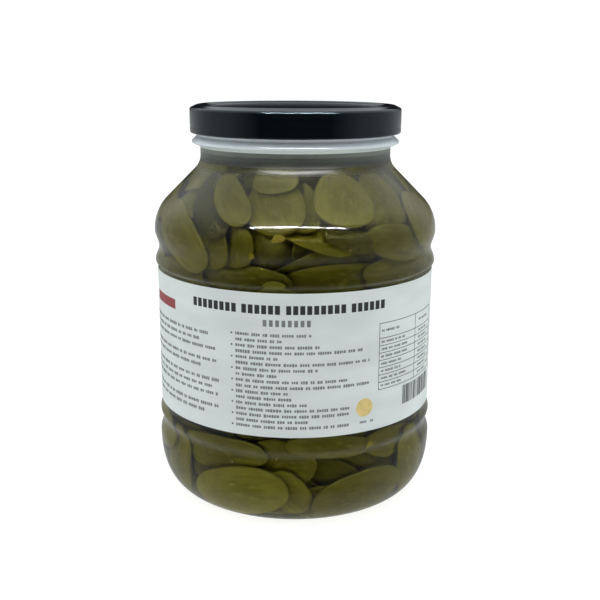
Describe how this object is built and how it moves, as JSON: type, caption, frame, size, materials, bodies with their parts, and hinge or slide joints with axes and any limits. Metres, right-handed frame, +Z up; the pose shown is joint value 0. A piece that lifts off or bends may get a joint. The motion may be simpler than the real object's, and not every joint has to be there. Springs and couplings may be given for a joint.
{
  "type": "pickle jar",
  "caption": "Large wide-mouth clear jar packed with long sliced gherkins in brine, with a white wraparound label and a black metal lid.",
  "frame": {"origin": "centre of the foot that the jar stands on", "axes": "+Z up along the jar's axis, -Y towards the front of the label, +X to the label's right"},
  "size_m": [0.1494, 0.1494, 0.2057],
  "materials": {
    "clear_plastic": "clear blown plastic, glossy",
    "black_lacquer": "semi-gloss black lacquer on tinplate",
    "label_paper": "coated paper, satin",
    "gherkin": "wet olive green pickle flesh"
  },
  "bodies": {
    "root": {"jar": "clear_plastic", "lid": "black_lacquer", "label": "label_paper", "pickle_slices": "gherkin"}
  },
  "joints": []
}
